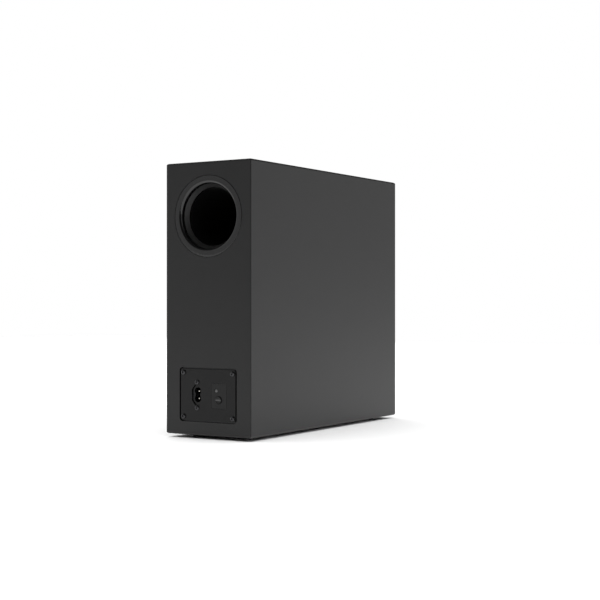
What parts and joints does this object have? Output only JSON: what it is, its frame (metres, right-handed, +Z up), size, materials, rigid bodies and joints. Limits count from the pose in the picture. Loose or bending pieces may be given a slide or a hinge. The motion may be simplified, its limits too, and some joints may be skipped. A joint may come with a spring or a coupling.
{
  "type": "soundbar subwoofer",
  "caption": "Slim upright active subwoofer of a soundbar set: rear reflex port, small rear amplifier plate with mains inlet and pairing button, side-firing woofer.",
  "frame": {"origin": "on the floor, under the middle of the cabinet", "axes": "+Z up, +Y towards the rear face with the port and the amplifier plate, +X towards the woofer side"},
  "size_m": [0.12, 0.3577, 0.322],
  "materials": {
    "bare_mdf": "raw MDF",
    "basket_steel": "black powder coat",
    "bezel_plastic": "satin black ABS",
    "black_insulation": "black PVC",
    "black_zinc": "black zinc-plated steel, satin",
    "blue_insulation": "blue PVC",
    "brown_insulation": "brown PVC",
    "button_plastic": "satin black ABS with a plain light dash",
    "cable_jacket": "grey PVC",
    "capacitor_sleeve": "dark shrink sleeve",
    "circuit_board": "green solder mask",
    "coil_former": "plain aluminium",
    "cone_paper": "black coated paper",
    "copper_winding": "enamelled copper wire",
    "ferrite": "sintered ferrite",
    "film_capacitor": "yellow box film capacitor",
    "foam_gasket": "closed-cell foam",
    "foot_rubber": "matt black rubber",
    "fuse_glass": "glass with plated end caps",
    "header_nylon": "natural nylon",
    "heatsink_black": "black anodised",
    "inductor_block": "moulded iron powder",
    "inlet_plastic": "black thermoplastic",
    "light_pipe": "frosted clear polycarbonate",
    "motor_steel": "passivated steel",
    "pin_brass": "plain brass",
    "plate_plastic": "fine-textured black ABS",
    "port_plastic": "satin black ABS",
    "red_insulation": "red PVC",
    "shield_tin": "tinned steel",
    "spider_cloth": "resin-stiffened cotton",
    "strip_board": "phenolic board with tinned lugs",
    "surround_rubber": "matt black butyl rubber",
    "switch_body": "black switch body",
    "tinsel_braid": "braided copper tinsel",
    "transformer_core": "ferrite core with yellow tape",
    "trim_plastic": "satin black ABS",
    "vinyl_wrap": "matt black wood-grain-free vinyl on MDF",
    "wadding": "white polyester wadding",
    "zinc_steel": "bright zinc"
  },
  "bodies": {
    "cabinet": {"amp_heatsink": "heatsink_black", "amp_plate": "plate_plastic", "board_headers": "header_nylon", "board_screws": "zinc_steel", "board_standoffs": "pin_brass", "bottom_panel": "vinyl_wrap", "bulk_capacitors": "capacitor_sleeve", "chassis_bracket": "zinc_steel", "control_bezel": "bezel_plastic", "damping_wadding": "wadding", "foot_screws": "black_zinc", "front_panel": "vinyl_wrap", "inlet_nuts": "zinc_steel", "inlet_pins": "pin_brass", "inlet_screws": "black_zinc", "inlet_wire_blue": "blue_insulation", "inlet_wire_brown": "brown_insulation", "inner_brace": "bare_mdf", "led_light_pipe": "light_pipe", "magnet": "ferrite", "magnet_cover": "basket_steel", "main_board": "circuit_board", "mains_filter_choke": "ferrite", "mains_fuse": "fuse_glass", "mains_inlet": "inlet_plastic", "module_cable": "cable_jacket", "output_inductors": "inductor_block", "pair_switch": "switch_body", "plain_side_panel": "vinyl_wrap", "plate_gasket": "foam_gasket", "plate_screws": "black_zinc", "port_flare": "port_plastic", "port_inner_flare": "port_plastic", "port_tube": "port_plastic", "rear_panel": "vinyl_wrap", "rubber_feet": "foot_rubber", "speaker_wire_black": "black_insulation", "speaker_wire_red": "red_insulation", "spider": "spider_cloth", "terminal_strip": "strip_board", "tinsel_leads": "tinsel_braid", "top_panel": "vinyl_wrap", "top_plate": "motor_steel", "transformer": "transformer_core", "wireless_board": "circuit_board", "wireless_shield": "shield_tin", "woofer_basket": "basket_steel", "woofer_gasket": "foam_gasket", "woofer_screws": "black_zinc", "woofer_side_panel": "vinyl_wrap", "woofer_sub_baffle": "bare_mdf", "woofer_surround": "surround_rubber", "woofer_trim_ring": "trim_plastic", "x_capacitor": "film_capacitor", "yoke": "motor_steel"},
    "cone_assembly": {"woofer_cone": "cone_paper", "dust_cap": "cone_paper", "voice_coil_former": "coil_former", "voice_coil_winding": "copper_winding"},
    "pair_button": {"pair_button": "button_plastic"}
  },
  "joints": [
    {"name": "cone_travel", "type": "slide", "parent": "cabinet", "child": "cone_assembly", "axis": [1, 0, 0], "range_m": [-0.006, 0.006], "stiffness_N_per_m": 1500, "deforming": ["woofer_surround", "spider", "tinsel_leads"]},
    {"name": "button_press", "type": "slide", "parent": "cabinet", "child": "pair_button", "axis": [0, -1, 0], "range_m": [0, 0.0008], "stiffness_N_per_m": 2000}
  ]
}
